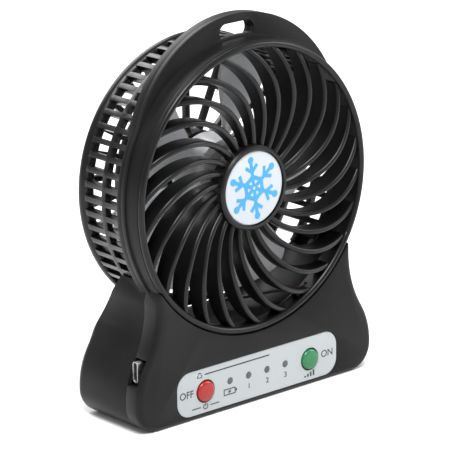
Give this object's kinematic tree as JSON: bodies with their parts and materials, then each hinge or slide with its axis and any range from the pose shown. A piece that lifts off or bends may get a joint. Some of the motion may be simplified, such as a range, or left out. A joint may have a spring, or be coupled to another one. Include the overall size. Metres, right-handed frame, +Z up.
{
  "type": "desk fan",
  "caption": "Small rechargeable desk fan: a round guard with curved fins over a bladed impeller, on a flared base with two push buttons, status lights and a hanging slot at the top.",
  "frame": {"origin": "centre of the bounding box at the level of the base's bottom face", "axes": "+Z up, +Y to the back along the fan's axis, +X to the right as seen from the front"},
  "size_m": [0.1088, 0.0387, 0.1375],
  "materials": {
    "housing": "satin moulded plastic",
    "grille": "satin moulded plastic",
    "disc": "gloss",
    "blades": "translucent, gloss",
    "label": "satin film",
    "button_red": "satin",
    "button_green": "satin",
    "plunger": "matte",
    "switch_body": "plain metal cover",
    "lens": "smoked, clear",
    "chip": "clear resin",
    "board": "solder mask",
    "steel": "plain",
    "nickel": "nickel plated",
    "brass": "plain",
    "tongue": "matte",
    "motor_cap": "matte",
    "cell_wrap": "shrink film",
    "wire_red": "PVC",
    "wire_black": "PVC"
  },
  "bodies": {
    "housing": {"front_frame": "housing", "rear_shell": "housing", "rear_cage": "housing", "front_grille": "grille", "hub_disc": "disc", "motor_can": "steel", "motor_cap": "motor_cap", "motor_terminals": "brass", "label_panel": "label", "off_switch": "switch_body", "on_switch": "switch_body", "led_lens_1": "lens", "led_lens_2": "lens", "led_lens_3": "lens", "led_lens_4": "lens", "led_chips": "chip", "control_board": "board", "charge_socket": "steel", "charge_contacts": "tongue", "battery_cell": "cell_wrap", "battery_contact_plus": "nickel", "battery_contact_minus": "nickel", "battery_spring": "nickel", "motor_wire_red": "wire_red", "motor_wire_black": "wire_black", "battery_wire_red": "wire_red", "battery_wire_black": "wire_black", "housing_screws": "steel"},
    "fan": {"impeller": "blades", "motor_shaft": "steel"},
    "off_key": {"off_button": "button_red", "off_plunger": "plunger"},
    "on_key": {"on_button": "button_green", "on_plunger": "plunger"},
    "door": {"battery_door": "housing"}
  },
  "joints": [
    {"name": "fan_spin", "type": "hinge", "parent": "housing", "child": "fan", "pos_m": [0, 0, 0.0773], "axis": [0, 1, 0], "continuous": true},
    {"name": "off_button_press", "type": "slide", "parent": "housing", "child": "off_key", "axis": [0, 1, 0], "range_m": [0, 0.0006], "stiffness_N_per_m": 1500, "springref_m": -0.0003},
    {"name": "on_button_press", "type": "slide", "parent": "housing", "child": "on_key", "axis": [0, 1, 0], "range_m": [0, 0.0006], "stiffness_N_per_m": 1500, "springref_m": -0.0003},
    {"name": "battery_door_slide", "type": "slide", "parent": "housing", "child": "door", "axis": [0, 1, 0], "range_m": [0, 0.022]}
  ]
}
